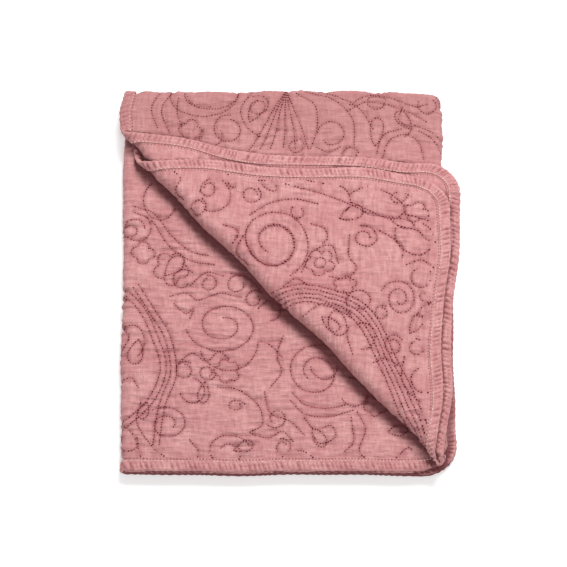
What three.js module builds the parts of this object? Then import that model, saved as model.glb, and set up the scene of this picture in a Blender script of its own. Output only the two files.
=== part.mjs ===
// A quilted cotton blanket, folded in half, then in three, with one corner of its top third turned back.
// The flat cloth is described by u, along its length, and v, across its width. The function foldedPoint
// carries (u, v) to its place in the folded stack, so that every layer is one stretch of the same cloth.
// X runs to the right, Y to the back and Z up. The origin is under the middle of the stack.

import * as THREE from "three";

// Driving dimensions, in millimetres

const quiltLength = 961; // u, folded in three
const quiltWidth = 790; // v, folded in half
const cornerRadius = 36;
const clothThickness = 3.2;
const layerPitch = 4.4; // from the middle of one layer to the middle of the next
const foldedHemX = -159.5; // left hem of the top third
const rightTurnX = 145.6; // where the cloth starts to turn over at the right
const leftTurnX = -159.6; // and at the left
const topFrontY = -196; // front hem of the top third
const lowerFrontY = -200.3; // front hem of the two thirds under it
const lowerShrink = 0.98; // the two thirds under it lie a little crumpled
const hemDrawIn = 15; // of the bottom third's right hem, towards the back

// Corner of the top third that is turned back along a diagonal line
const turnback = {
  angle: 46.3 * THREE.MathUtils.DEG2RAD, // from the X axis, down to the right
  start: 15.7, // distance of the line from the origin
  radius: 6.4, // of the turn, at the middle between its two layers
  settleLength: 55, // in which the flap sinks onto the layer under it
  wobble: 1.5,
  frontShift: 5, // the line bends this far out to the corner of the stack, at its front end
  tipShift: 6, // the inner layer turns back this much earlier, towards the left hem
};

// Small departures from an exact fold
const ease = {
  backReach: 3, // the top third bulges this far over the back
  droop: 0.008, // and its back edge sinks by this share of a squared distance
  topCorner: 3, // the top third's front corner lies this far out
  bottomCorner: 2.4, // and so do the bottom third's
};

// Binding along the whole edge, a folded strip round the thin edge of the panel
const binding = {
  width: 11,
  halfThickness: 1.75,
  halfEdge: 1.1,
  wall: 0.75,
  gap: 0.35,
};
const tongue = { edgeInset: 2, halfRoot: 0.35, halfMiddle: 0.25, step: 1 };

// Stitched grooves
const grooveDepth = 0.8;
const grooveStep = 6;

// Spacing of the points of the facets
const fineStep = 13;
const coarseStep = 42;
const turnFacets = 5;
const hairpinFacets = 4;
const diagonalFacets = 6;
const widening = 90; // of each facet of a turn, while the points are joined into triangles
const settlingRows = [10, 22, 36, 52]; // beyond the diagonal turn, where the flap sinks

// Colours
const clothColour = 0xc9868b;
const bindingColour = 0xcf8d91;

const halfPitch = layerPitch / 2;
const halfWidth = quiltWidth / 2;
const turnLength = Math.PI * layerPitch;
const hairpinLength = Math.PI * halfPitch;
const straightWidth = halfWidth - hairpinLength / 2;
const rightTurnU = rightTurnX - foldedHemX;
const rightTurnEndU = rightTurnU + turnLength;
const leftTurnU = rightTurnEndU + rightTurnX - leftTurnX;
const leftTurnEndU = leftTurnU + turnLength;
const bottomSlabZ = clothThickness / 2 + halfPitch;
const middleSlabZ = bottomSlabZ + 2 * layerPitch;
const topSlabZ = middleSlabZ + 2 * layerPitch;
const acrossLine = { x: -Math.sin(turnback.angle), y: -Math.cos(turnback.angle) };
const alongLine = { x: Math.cos(turnback.angle), y: -Math.sin(turnback.angle) };

const mix = (a, b, share) => a + (b - a) * share;
const ramp = (from, to, value) => THREE.MathUtils.smoothstep(value, from, to);
const bump = (value, middle, reach) => Math.exp(-(((value - middle) / reach) ** 2));

// Folded in half: how far back a point of the width lies, and its height over the middle of its slab

function halfFold(v) {
  if (v <= straightWidth) return { run: v, height: halfPitch };
  const past = v - straightWidth;
  if (past >= hairpinLength) return { run: straightWidth - (past - hairpinLength), height: -halfPitch };
  const angle = past / halfPitch;
  return { run: straightWidth + halfPitch * Math.sin(angle), height: halfPitch * Math.cos(angle) };
}

// Folded in three: place across and up of a point of the length, at a height over the slab's middle

function thirdFold(u, height) {
  if (u <= rightTurnU) return { x: foldedHemX + u, z: topSlabZ + height };
  if (u < rightTurnEndU) {
    const angle = (u - rightTurnU) / layerPitch;
    const reach = layerPitch + height;
    return {
      x: rightTurnX + reach * Math.sin(angle),
      z: topSlabZ - layerPitch + reach * Math.cos(angle),
    };
  }
  if (u <= leftTurnU) return { x: rightTurnX - (u - rightTurnEndU), z: middleSlabZ - height };
  if (u < leftTurnEndU) {
    const angle = (u - leftTurnU) / layerPitch;
    const reach = layerPitch - height;
    return {
      x: leftTurnX - reach * Math.sin(angle),
      z: middleSlabZ - layerPitch + reach * Math.cos(angle),
    };
  }
  return { x: leftTurnX + u - leftTurnEndU, z: bottomSlabZ + height };
}

// Draws the square corner at (cornerX, cornerY) in to a quarter circle of about the given reach

function roundedCorner(point, cornerX, cornerY, reach, weight) {
  const sideX = Math.sign(cornerX);
  const sideY = Math.sign(cornerY);
  const a = Math.min(Math.max(sideX * (point.x - cornerX) / reach + 1, 0), 1);
  const b = Math.min(Math.max(sideY * (point.y - cornerY) / reach + 1, 0), 1);
  point.x -= weight * sideX * reach * a * (1 - Math.sqrt(1 - b * b / 2));
  point.y -= weight * sideY * reach * b * (1 - Math.sqrt(1 - a * a / 2));
}

// The diagonal line wanders a little to either side of straight

function lineWander(along) {
  const waves = Math.sin(along / 19 + 0.6) + 0.7 * Math.sin(along / 33 + 2);
  return turnback.wobble * waves + turnback.frontShift * ramp(190, 250, along);
}

const tipShift = (along) => turnback.tipShift * ramp(90, 235, -along);

// Distance past the diagonal line, positive on the side of the turned corner

function pastLine(x, y) {
  const along = alongLine.x * x + alongLine.y * y;
  return acrossLine.x * x + acrossLine.y * y - turnback.start - lineWander(along);
}

// The same, for one of the two layers, given by its height over the middle of its slab

function pastFold(x, y, height) {
  const inner = (1 + height / halfPitch) / 2;
  return pastLine(x, y) + inner * tipShift(alongLine.x * x + alongLine.y * y);
}

// Turns what lies past the diagonal line up and back over the top third

function turnedBack(point, height) {
  const past = pastFold(point.x, point.y, height);
  if (past <= 0) return { ...point };
  const layerRadius = turnback.radius - (height > 0 ? halfPitch : -halfPitch);
  const reach = turnback.radius - (point.z - topSlabZ);
  const angle = Math.min(past / layerRadius, Math.PI);
  const rest = past - angle * layerRadius;
  const moved = reach * Math.sin(angle) - rest - past;
  const settled = 2 * (turnback.radius - layerPitch) * ramp(0, turnback.settleLength, rest);
  return {
    x: point.x + moved * acrossLine.x,
    y: point.y + moved * acrossLine.y,
    z: topSlabZ + turnback.radius - reach * Math.cos(angle) - settled,
  };
}

// The middle of the cloth at (u, v), as it lies in the folded blanket

function foldedPoint(u, v) {
  const { run, height } = halfFold(v);
  const lower = ramp(rightTurnU - 40, rightTurnEndU + 60, u);
  const point = thirdFold(u, height);
  point.y = mix(topFrontY, lowerFrontY, lower) + run * mix(1, lowerShrink, lower);

  // The two layers' left hems lie a few millimetres apart, and the upper one bulges where it turns back
  const tipBulge = 6 * ramp(240, 300, v) + 5 * bump(v, 330, 45) + 4 * ramp(335, 375, v);
  const backHem = 2 + 2 * Math.sin(v / 24) - 6 * bump(v, 410, 40);
  const hemShift = mix(-2 - tipBulge, backHem, ramp(-25, 25, v - halfWidth));
  if (u < rightTurnU) point.x += hemShift * (1 - ramp(0, 280, u));

  // The bottom third's right hem lies drawn in towards the back
  const bottomShare = ramp(leftTurnEndU, quiltLength, u);
  point.x -= hemDrawIn * bottomShare * ramp(30, 150, point.y);

  // The front corners of the top and the bottom third lie a little further out
  const topCorner = ease.topCorner * (1 - ramp(10, 60, Math.hypot(u, v)));
  const bottomDistance = Math.hypot(quiltLength - u, Math.min(v, quiltWidth - v));
  const bottomCorner = ease.bottomCorner * (1 - ramp(12, 50, bottomDistance));
  point.x += bottomCorner - topCorner;
  point.y -= 0.6 * bottomCorner + topCorner;

  // Soft corners at the right, and a back edge that droops over the shorter thirds under it
  if (u < leftTurnU) {
    const turned = ramp(rightTurnU - 10, rightTurnEndU + 5, u);
    roundedCorner(point, rightTurnX + 8.4, lowerFrontY, 28, turned);
  }
  roundedCorner(point, rightTurnX + 8.4, 199, 12, 1);
  const topShare = 1 - ramp(rightTurnU, rightTurnEndU, u);
  point.z -= ease.droop * Math.max(point.y - 178, 0) ** 2 * topShare;
  const backReach = ease.backReach * (1 + 0.35 * bump(point.x, -10, 70));
  point.y += backReach * ramp(120, 200, point.y) * topShare;

  if (u < rightTurnEndU) {
    const turned = turnedBack(point, height);
    const overhang = Math.max(turned.x - 148, 0);
    const flapShare = ramp(topSlabZ + 2, topSlabZ + 6, turned.z);
    turned.z -= 0.01 * overhang ** 2 * flapShare;
    point.x = mix(point.x, turned.x, topShare);
    point.y = mix(point.y, turned.y, topShare);
    point.z = mix(point.z, turned.z, topShare);
  }

  // The lowest hems rise by the binding's extra thickness, and the upper layers lie in soft waves
  const edge = Math.min(quiltLength - u, quiltWidth - v);
  const lowest = ramp(leftTurnU, leftTurnEndU, u) * ramp(-10, 10, v - halfWidth);
  point.z += 0.3 * lowest * (1 - ramp(binding.width, 3 * binding.width, edge));
  const wave = Math.sin(point.x / 23 + 0.7) * Math.sin(point.y / 29 + 0.4) + Math.sin((point.x - point.y) / 37);
  const wander = Math.sin(point.y / 26 + 1.3) + 0.5 * Math.sin(point.y / 11);
  const drift = Math.sin(point.x / 28 + 0.4) + 0.5 * Math.sin(point.x / 13 + 2);
  return new THREE.Vector3(
    point.x + 0.7 * wander,
    point.y + 0.7 * drift,
    point.z + 0.5 * wave * ramp(8, 30, point.z),
  );
}

// The point at a height over the middle of the cloth, on the side of its face

function clothPoint(u, v, height) {
  const small = 0.05;
  const alongU = foldedPoint(u + small, v).sub(foldedPoint(u - small, v));
  const alongV = foldedPoint(u, v + small).sub(foldedPoint(u, v - small));
  const normal = alongU.cross(alongV).normalize();
  return foldedPoint(u, v).addScaledVector(normal, height);
}

// Which part of the face shows: the turned corner, the third under it, and the strip at the back

function showingRegion(u, v) {
  const { run } = halfFold(v);
  const back = v > halfWidth;
  if (u < rightTurnU) {
    const past = pastLine(foldedHemX + u, topFrontY + run);
    if (back) return past > -6;
    return past <= 0 && topFrontY + run > 95;
  }
  if (u > leftTurnU || !back) return false;
  return pastLine(rightTurnX - (u - rightTurnEndU), lowerFrontY + run) > -4;
}

// Even steps, both ends included

const stepsOf = (start, length, facets) => {
  return Array.from({ length: facets + 1 }, (_, k) => start + (length * k) / facets);
};

// Stations round the edge: a point of the outline and the direction inwards, from spacing rules

function spacedValues(from, to, marks, stepAt) {
  const values = [from, ...marks.filter((m) => m > from && m < to), to].sort((a, b) => a - b);
  return values.slice(1).flatMap((end, i) => {
    const start = values[i];
    const parts = Math.max(1, Math.round((end - start) / stepAt((start + end) / 2)));
    return Array.from({ length: parts }, (_, k) => start + ((end - start) * k) / parts);
  });
}

// Places along a hem where the diagonal turn starts, bends and ends, for one of its two layers

function diagonalMarks(layerRadius, pastAt, from, to) {
  const marks = [];
  const reach = binding.width / 2;
  for (const target of stepsOf(-reach, Math.PI * layerRadius + 2 * reach, diagonalFacets + 2)) {
    let low = from;
    let high = to;
    if ((pastAt(low) - target) * (pastAt(high) - target) > 0) continue;
    while (high - low > 0.01) {
      const middle = (low + high) / 2;
      if ((pastAt(low) - target) * (pastAt(middle) - target) <= 0) high = middle;
      else low = middle;
    }
    marks.push((low + high) / 2);
  }
  return marks;
}

const rightTurnMarks = stepsOf(rightTurnU, turnLength, turnFacets);
const leftTurnMarks = stepsOf(leftTurnU, turnLength, turnFacets);
const turnMarks = [...rightTurnMarks, ...leftTurnMarks];
const droopRows = [20, 10]; // beside the fold at the back, where the top third droops
const hairpinMarks = [
  ...droopRows.map((row) => straightWidth - row),
  ...stepsOf(straightWidth, hairpinLength, hairpinFacets),
  ...droopRows.map((row) => straightWidth + hairpinLength + row),
].sort((a, b) => a - b);
const innerRadius = turnback.radius - halfPitch;
const outerRadius = turnback.radius + halfPitch;

// A hem's marks come from where the diagonal crosses it half way in from the edge to the panel

function edgeStations() {
  const inset = binding.width / 2;
  const leftPast = (v) => {
    const { run, height } = halfFold(v);
    return pastFold(foldedHemX + inset, topFrontY + run, height);
  };
  const frontPast = (u) => pastLine(foldedHemX + u, topFrontY + inset);
  const low = cornerRadius;
  const farU = quiltLength - cornerRadius;
  const farV = quiltWidth - cornerRadius;
  const frontMarks = diagonalMarks(innerRadius, frontPast, low, rightTurnU);
  const backMarks = diagonalMarks(outerRadius, frontPast, low, rightTurnU);
  const leftMarks = [
    ...diagonalMarks(innerRadius, leftPast, low, straightWidth),
    ...diagonalMarks(outerRadius, leftPast, straightWidth + hairpinLength, farV),
  ];
  const stepU = (u) => (u < rightTurnU ? fineStep : 2.6 * fineStep);
  const stepLayerThree = (u) => (u < leftTurnU ? 1.3 * fineStep : 2.6 * fineStep);
  const stepV = () => fineStep;
  const stepFarV = () => 2.6 * fineStep;
  const lowU = spacedValues(low, farU, [...turnMarks, ...frontMarks], stepU);
  const highU = spacedValues(low, farU, [...turnMarks, ...backMarks], stepLayerThree).concat(farU).reverse();
  const rightV = spacedValues(low, farV, hairpinMarks, stepFarV);
  const leftV = spacedValues(low, farV, [...hairpinMarks, ...leftMarks], stepV).concat(farV).reverse();
  const straight = (u, v, inU, inV) => ({ u, v, inU, inV });
  const corner = (u, v, first) =>
    [1, 2, 3, 4].map((k) => {
      const angle = first + (k * Math.PI) / 10;
      const outU = Math.cos(angle);
      const outV = Math.sin(angle);
      return straight(u + cornerRadius * outU, v + cornerRadius * outV, -outU, -outV);
    });
  return [
    ...lowU.map((u) => straight(u, 0, 0, 1)),
    straight(farU, 0, 0, 1),
    ...corner(farU, low, -Math.PI / 2),
    ...rightV.map((v) => straight(quiltLength, v, -1, 0)),
    straight(quiltLength, farV, -1, 0),
    ...corner(farU, farV, 0),
    ...highU.map((u) => straight(u, quiltWidth, 0, -1)),
    ...corner(low, farV, Math.PI / 2),
    ...leftV.map((v) => straight(0, v, 1, 0)),
    ...corner(low, low, Math.PI),
  ];
}

const stations = edgeStations();
const insetPoint = (station, inset) => [station.u + inset * station.inU, station.v + inset * station.inV];

// Stitched scrolls of the face, as rows of a table: centre, reach, turns, first angle in degrees, hand

const scrolls = [
  { u: 83, v: 615, reach: 38, turns: 1.9, first: -60, hand: 1 },
  { u: 138, v: 738, reach: 19, turns: 1.3, first: 40, hand: -1 },
  { u: 30, v: 590, reach: 19, turns: 1.1, first: 200, hand: 1 },
  { u: 40, v: 735, reach: 18, turns: 1.1, first: 120, hand: -1 },
  { u: 225, v: 745, reach: 17, turns: 1.1, first: 10, hand: 1 },
  { u: 530, v: 638, reach: 36, turns: 1.9, first: 100, hand: -1 },
  { u: 585, v: 742, reach: 19, turns: 1.2, first: 60, hand: 1 },
  { u: 430, v: 680, reach: 28, turns: 1.6, first: 240, hand: 1 },
  { u: 500, v: 752, reach: 17, turns: 1.2, first: 0, hand: -1 },
  { u: 602, v: 540, reach: 19, turns: 1.3, first: 300, hand: 1 },
  { u: 82, v: 392, reach: 36, turns: 1.7, first: 20, hand: 1 },
  { u: 255, v: 352, reach: 22, turns: 1.0, first: 20, hand: -1 },
];

// Stems between them: four control points of a curve, as u and v

const stems = [
  [120, 610, 150, 640, 160, 700, 215, 715],
  [60, 655, 120, 668, 205, 700, 290, 778],
  [608, 590, 560, 600, 590, 700, 625, 735],
  [480, 655, 455, 590, 520, 560, 600, 500],
  [140, 350, 160, 372, 160, 385, 161, 395],
];

function scrollLine({ u, v, reach, turns, first, hand }) {
  const line = [];
  let angle = 0;
  const whole = 2 * Math.PI * turns;
  while (angle < whole) {
    const radius = reach * (1 - 0.8 * (angle / whole) ** 0.8);
    const turned = first * THREE.MathUtils.DEG2RAD + hand * angle;
    line.push([u + radius * Math.cos(turned), v + radius * Math.sin(turned)]);
    angle += grooveStep / Math.max(radius, grooveStep);
  }
  return line;
}

function stemLine(row) {
  const corners = [0, 2, 4, 6].map((k) => new THREE.Vector2(row[k], row[k + 1]));
  const curve = new THREE.CubicBezierCurve(...corners);
  return curve.getSpacedPoints(Math.round(curve.getLength() / grooveStep)).map((p) => [p.x, p.y]);
}

// Rows of points along the turns, so that the facets of neighbouring layers bend at the same places

function turnRows() {
  const inner = binding.width + tongue.step + 6;
  const alongV = spacedValues(inner, quiltWidth - inner, hairpinMarks, () => coarseStep);
  const alongU = spacedValues(inner, quiltLength - inner, turnMarks, () => coarseStep);
  const rows = turnMarks.flatMap((u) => alongV.map((v) => [u, v]));
  rows.push(...hairpinMarks.flatMap((v) => alongU.map((u) => [u, v])));
  return rows;
}

function diagonalRows(layerRadius, onBack) {
  const rows = [];
  const halfTurn = Math.PI * layerRadius;
  const turning = stepsOf(0, halfTurn, diagonalFacets).map((past) => ({ past, step: fineStep }));
  const settling = settlingRows.map((rest) => ({ past: halfTurn + rest, step: 2 * fineStep }));
  for (const { past, step } of [...turning, ...settling]) {
    for (let along = -300; along < 300; along += step) {
      const across = turnback.start + lineWander(along) - (onBack ? 0 : tipShift(along)) + past;
      const u = across * acrossLine.x + along * alongLine.x - foldedHemX;
      const run = across * acrossLine.y + along * alongLine.y - topFrontY;
      if (run > straightWidth - 8 || u > rightTurnU - 3) continue;
      rows.push([u, onBack ? quiltWidth - run : run]);
    }
  }
  return rows;
}

function latticeRows(step, wanted) {
  const rows = [];
  const rise = (step * Math.sqrt(3)) / 2;
  for (let row = 0; row * rise < quiltWidth; row++) {
    for (let u = (row % 2) * (step / 2); u < quiltLength; u += step) {
      if (wanted(u, row * rise)) rows.push([u, row * rise]);
    }
  }
  return rows;
}

// Distance inwards from the rounded outline, negative outside it

function insetOf(u, v) {
  const du = Math.abs(u - quiltLength / 2) - quiltLength / 2 + cornerRadius;
  const dv = Math.abs(v - quiltWidth / 2) - quiltWidth / 2 + cornerRadius;
  return cornerRadius - Math.hypot(Math.max(du, 0), Math.max(dv, 0)) - Math.min(Math.max(du, dv), 0);
}

// Whether a point lies in or close beside a turn, whose rows stand alone

function besideTurn(u, v, apart) {
  const within = (value, start, length) => value > start - apart && value < start + length + apart;
  if (within(u, rightTurnU, turnLength) || within(u, leftTurnU, turnLength)) return true;
  return within(v, hairpinMarks[0], hairpinMarks.at(-1) - hairpinMarks[0]);
}

// A face's points: its edge, the rows of its turns, its grooves and an even filling

function facePoints(stitched) {
  const root = binding.width + binding.gap + tongue.step;
  const points = stations.map((s) => ({ uv: insetPoint(s, root), height: 0 }));
  const edgeCount = points.length;
  const add = (rows, apart, height, closeToEdge, turnGap) => {
    const earlier = points.length;
    rows.forEach(([u, v]) => {
      if (insetOf(u, v) < root + closeToEdge) return;
      if (turnGap && besideTurn(u, v, turnGap)) return;
      const near = (p) => Math.hypot(p.uv[0] - u, p.uv[1] - v) < apart;
      if (points.slice(0, earlier).some(near)) return;
      points.push({ uv: [u, v], height });
    });
  };
  add(turnRows(), 1.5, 0, 5);
  add(diagonalRows(innerRadius, false), 3, 0, 5);
  add(diagonalRows(outerRadius, true), 3, 0, 5);
  if (stitched) {
    [...scrolls.map(scrollLine), ...stems.map(stemLine)].forEach((line) => {
      const shown = line.filter(([u, v]) => showingRegion(u, v));
      add(shown, 4, -grooveDepth, 4, 3);
    });
    add(latticeRows(fineStep, showingRegion), 6.5, 0, 6, 5);
  }
  const hidden = (u, v) => !stitched || !showingRegion(u, v);
  add(latticeRows(coarseStep, hidden), 0.5 * coarseStep, 0, 0.4 * coarseStep, 0.4 * coarseStep);
  return { points, edgeCount };
}

// Delaunay triangles of the points, found where the turns are widened, so that their narrow facets stay
// whole, and inside a ring of extra points that does the same for the edge

function circleOf(a, b, c) {
  const bx = b[0] - a[0];
  const by = b[1] - a[1];
  const cx = c[0] - a[0];
  const cy = c[1] - a[1];
  const twice = 2 * (bx * cy - by * cx);
  const x = (cy * (bx * bx + by * by) - by * (cx * cx + cy * cy)) / twice;
  const y = (bx * (cx * cx + cy * cy) - cx * (bx * bx + by * by)) / twice;
  return { x: a[0] + x, y: a[1] + y, reach: x * x + y * y };
}

function widened(value, bands) {
  const steps = bands.flatMap((marks) => marks.slice(1).map((end, i) => [marks[i], end]));
  const share = ([start, end]) => THREE.MathUtils.clamp((value - start) / (end - start), 0, 1);
  return value + widening * steps.reduce((sum, step) => sum + share(step), 0);
}

const widenedPoint = ([u, v]) => [widened(u, [rightTurnMarks, leftTurnMarks]), widened(v, [hairpinMarks])];

function faceTriangles(uvs, edgeCount) {
  const inner = uvs.map(widenedPoint);
  const outer = stations.map((s, i) => {
    const [u0, v0] = inner[i];
    const [u1, v1] = inner[(i + 1) % edgeCount];
    const out = 0.8 * Math.hypot(u1 - u0, v1 - v0) + 12;
    return [(u0 + u1) / 2 - out * s.inU, (v0 + v1) / 2 - out * s.inV];
  });
  const shaken = [...inner, ...outer].map(([u, v], i) => {
    return [u + 1e-4 * Math.sin(i * 12.9898), v + 1e-4 * Math.sin(i * 78.233)];
  });
  const places = [...shaken, [-30000, -30000], [60000, -30000], [0, 60000]];
  const last = places.length;
  const corners = [last - 3, last - 2, last - 1];
  let triangles = [{ corners, circle: circleOf(...corners.map((k) => places[k])) }];
  for (let i = 0; i < last - 3; i++) {
    const [x, y] = places[i];
    const kept = [];
    const rim = new Map();
    triangles.forEach((t) => {
      if ((x - t.circle.x) ** 2 + (y - t.circle.y) ** 2 >= t.circle.reach) {
        kept.push(t);
        return;
      }
      t.corners.forEach((a, k) => {
        const b = t.corners[(k + 1) % 3];
        if (!rim.delete(b * last + a)) rim.set(a * last + b, [a, b]);
      });
    });
    rim.forEach(([a, b]) => {
      kept.push({ corners: [a, b, i], circle: circleOf(places[a], places[b], places[i]) });
    });
    triangles = kept;
  }
  return triangles.map((t) => t.corners).filter((t) => t.every((k) => k < uvs.length));
}

// The panel: two faces over one outline, joined by a thin tongue that runs inside the binding

function panelGeometry() {
  const positions = [];
  const index = [];
  const put = (u, v, height) => positions.push(clothPoint(u, v, height).toArray()) - 1;
  const count = stations.length;
  const edge = stations.map((s) => put(...insetPoint(s, tongue.edgeInset), 0));
  [1, -1].forEach((side) => {
    const { points, edgeCount } = facePoints(side > 0);
    const ringAt = (inset, height) => stations.map((s) => put(...insetPoint(s, inset), side * height));
    const middle = ringAt(binding.width / 2, tongue.halfMiddle);
    const root = ringAt(binding.width + binding.gap, tongue.halfRoot);
    const first = positions.length;
    points.forEach(({ uv, height }) => put(...uv, side * (clothThickness / 2 + height)));
    faceTriangles(points.map((p) => p.uv), edgeCount).forEach(([a, b, c]) => {
      index.push(first + a, first + (side > 0 ? b : c), first + (side > 0 ? c : b));
    });
    const face = stations.map((_, k) => first + k);
    [[edge, middle], [middle, root], [root, face]].forEach(([low, high]) => {
      low.forEach((a, k) => {
        const next = (k + 1) % count;
        const quad = [a, low[next], high[next], high[k]];
        if (side < 0) quad.reverse();
        const [p, q, r, s] = side > 0 ? quad : [quad[3], quad[0], quad[1], quad[2]];
        index.push(p, q, r, p, r, s);
      });
    });
  });
  return geometryOf(positions, index);
}

// The binding: one closed folded section carried round the edge

function bindingGeometry() {
  const { width, halfThickness, halfEdge, wall } = binding;
  const inside = halfThickness - wall;
  const section = [
    { inset: width, height: halfThickness },
    { inset: width / 2, height: halfThickness },
    { inset: 0, height: halfEdge },
    { inset: 0, height: -halfEdge },
    { inset: width / 2, height: -halfThickness },
    { inset: width, height: -halfThickness },
    { inset: width, height: -inside },
    { inset: width / 2, height: -inside },
    { inset: wall, height: -inside },
    { inset: wall, height: inside },
    { inset: width / 2, height: inside },
    { inset: width, height: inside },
  ];
  const positions = [];
  stations.forEach((s) => {
    section.forEach(({ inset, height }) => {
      positions.push(clothPoint(...insetPoint(s, inset), height).toArray());
    });
  });
  const size = section.length;
  const index = stations.flatMap((_, k) => {
    const here = k * size;
    const there = ((k + 1) % stations.length) * size;
    return section.flatMap((_, j) => {
      const next = (j + 1) % size;
      const outwards = section[next].inset < section[j].inset;
      const quad = [here + j, here + next, there + next, there + j];
      const [p, q, r, s] = outwards ? [quad[1], quad[2], quad[3], quad[0]] : quad;
      return [p, q, r, p, r, s];
    });
  });
  return geometryOf(positions, index);
}

function geometryOf(positions, index) {
  const geometry = new THREE.BufferGeometry();
  geometry.setAttribute("position", new THREE.Float32BufferAttribute(positions.flat(), 3));
  geometry.setIndex(index);
  geometry.computeVertexNormals();
  return geometry;
}

function namedMesh(name, geometry, colour) {
  const material = new THREE.MeshStandardMaterial({ color: colour, roughness: 0.9, metalness: 0 });
  const mesh = new THREE.Mesh(geometry, material);
  mesh.name = name;
  return mesh;
}

const blanket = new THREE.Group();
blanket.add(namedMesh("quilt_panel", panelGeometry(), clothColour));
blanket.add(namedMesh("edge_binding", bindingGeometry(), bindingColour));

export default blanket;
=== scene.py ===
# Folded quilted cotton blanket: the cloth, its bound edge and its stitches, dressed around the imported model
import math

import bpy
import numpy as np
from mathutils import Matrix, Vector


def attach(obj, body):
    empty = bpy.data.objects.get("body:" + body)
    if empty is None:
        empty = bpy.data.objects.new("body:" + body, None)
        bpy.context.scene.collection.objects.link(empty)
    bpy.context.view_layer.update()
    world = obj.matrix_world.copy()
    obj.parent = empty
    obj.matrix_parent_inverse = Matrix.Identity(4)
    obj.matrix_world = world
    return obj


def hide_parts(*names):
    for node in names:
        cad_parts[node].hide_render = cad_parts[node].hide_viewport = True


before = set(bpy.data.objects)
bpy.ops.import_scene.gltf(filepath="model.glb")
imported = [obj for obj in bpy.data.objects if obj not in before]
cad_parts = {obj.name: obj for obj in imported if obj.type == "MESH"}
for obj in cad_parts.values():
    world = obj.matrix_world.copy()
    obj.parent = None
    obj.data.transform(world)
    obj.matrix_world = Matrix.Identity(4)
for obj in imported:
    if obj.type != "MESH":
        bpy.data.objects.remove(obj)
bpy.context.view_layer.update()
print("frame loaded")

metresPerMillimetre = 0.001

# How the cloth is folded, in millimetres: u runs along its length and v across its width
fold = {
    "length": 961.0,  # folded in three
    "width": 790.0,  # folded in half
    "thickness": 3.2,
    "pitch": 4.4,  # from the middle of one layer to the middle of the next
    "hemX": -159.5,
    "rightTurnX": 145.6,
    "leftTurnX": -159.6,
    "topFrontY": -196.0,
    "lowerFrontY": -200.3,
    "lowerShrink": 0.98,
    "hemDrawIn": 15.0,
    "cornerRadius": 36.0,
    "lineAngle": math.radians(46.3),  # of the diagonal that the top corner is turned back along
    "lineStart": 15.7,
    "turnRadius": 6.4,
    "settleLength": 55.0,
    "wobble": 1.5,
    "frontShift": 5.0,
    "tipShift": 6.0,  # the inner layer turns back earlier towards the left hem
    "backReach": 3.0,  # the top third bulges this far over the back
    "droop": 0.008,
    "topCorner": 3.0,  # the top third's front corner lies this far out
    "bottomCorner": 2.4,  # and so do the bottom third's
    "softWave": 0.5,
    "floorGap": 0.02,
}

# Where the cloth eases from one state to the next, as (from, to), and where its left hem wanders
ease = {
    "lowerBefore": 40,  # the top third passes into the lower ones, this far before the right turn
    "lowerAfter": 60,
    "backLayer": (-25, 25),
    "firstTip": (240, 300),
    "secondTip": (335, 375),
    "tipBell": (330, 45),  # middle and reach
    "tipHeights": (6, 5, 4),
    "hemShift": 2,
    "hemPeriod": 24,
    "hemDip": 6,
    "hemDipBell": (410, 40),
    "hemFade": (0, 280),
    "drawIn": (30, 150),
    "topCorner": (10, 60),
    "bottomCorner": (12, 50),
    "bottomCornerLean": 0.6,
    "rightBulge": 8.4,  # of the turns, past the straight layers
    "frontRounding": 28,
    "backRounding": 12,
    "backEdgeY": 199,
    "droopFromY": 178,
    "backReach": (120, 200),
    "backSwell": 0.35,
    "backSwellBell": (-10, 70),
    "overhangFromX": 148,
    "overhangDroop": 0.01,
    "overhangLift": (2, 6),
    "rimLift": 0.3,
    "rim": (11, 33),
    "frontWander": (190, 250),
    "tipTurn": (90, 235),
    "waveFade": (8, 30),
    "sideDrift": 0.7,
}
halfPitch = fold["pitch"] / 2
halfWidth = fold["width"] / 2
turnLength = math.pi * fold["pitch"]
hairpinLength = math.pi * halfPitch
straightWidth = halfWidth - hairpinLength / 2
rightTurnU = fold["rightTurnX"] - fold["hemX"]
rightTurnEndU = rightTurnU + turnLength
leftTurnU = rightTurnEndU + fold["rightTurnX"] - fold["leftTurnX"]
leftTurnEndU = leftTurnU + turnLength
topSlabZ = fold["thickness"] / 2 + halfPitch + 4 * fold["pitch"]
acrossX, acrossY = -math.sin(fold["lineAngle"]), -math.cos(fold["lineAngle"])
alongX, alongY = math.cos(fold["lineAngle"]), -math.sin(fold["lineAngle"])


def smoothRamp(low, high, value):
    # 0 below low, 1 above high, and a smooth cubic step between them
    t = np.clip((value - low) / (high - low), 0, 1)
    return t * t * (3 - 2 * t)


def bell(value, middle, reach):
    return np.exp(-(((value - middle) / reach) ** 2))


def blendTo(a, b, share):
    return a + (b - a) * share


def halfFold(v):
    # straight to the back, a half circle of half the pitch, and straight to the front again
    past = v - straightWidth
    angle = np.clip(past / halfPitch, 0, math.pi)
    run = np.minimum(v, straightWidth) + halfPitch * np.sin(angle) - np.maximum(past - hairpinLength, 0)
    return run, halfPitch * np.cos(angle)


def thirdFold(u, height):
    # right along the top third, a half circle down, left along the middle, a half circle, right again
    right = np.clip((u - rightTurnU) / fold["pitch"], 0, math.pi)
    left = np.clip((u - leftTurnU) / fold["pitch"], 0, math.pi)
    middleRun = np.clip(u - rightTurnEndU, 0, leftTurnU - rightTurnEndU)
    x = fold["hemX"] + np.minimum(u, rightTurnU) + (fold["pitch"] + height) * np.sin(right) - middleRun
    x = x - (fold["pitch"] - height) * np.sin(left) + np.maximum(u - leftTurnEndU, 0)
    z = topSlabZ - fold["pitch"] + (fold["pitch"] + height) * np.cos(right)
    return x, z - (fold["pitch"] - height) * (1 - np.cos(left))


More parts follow.
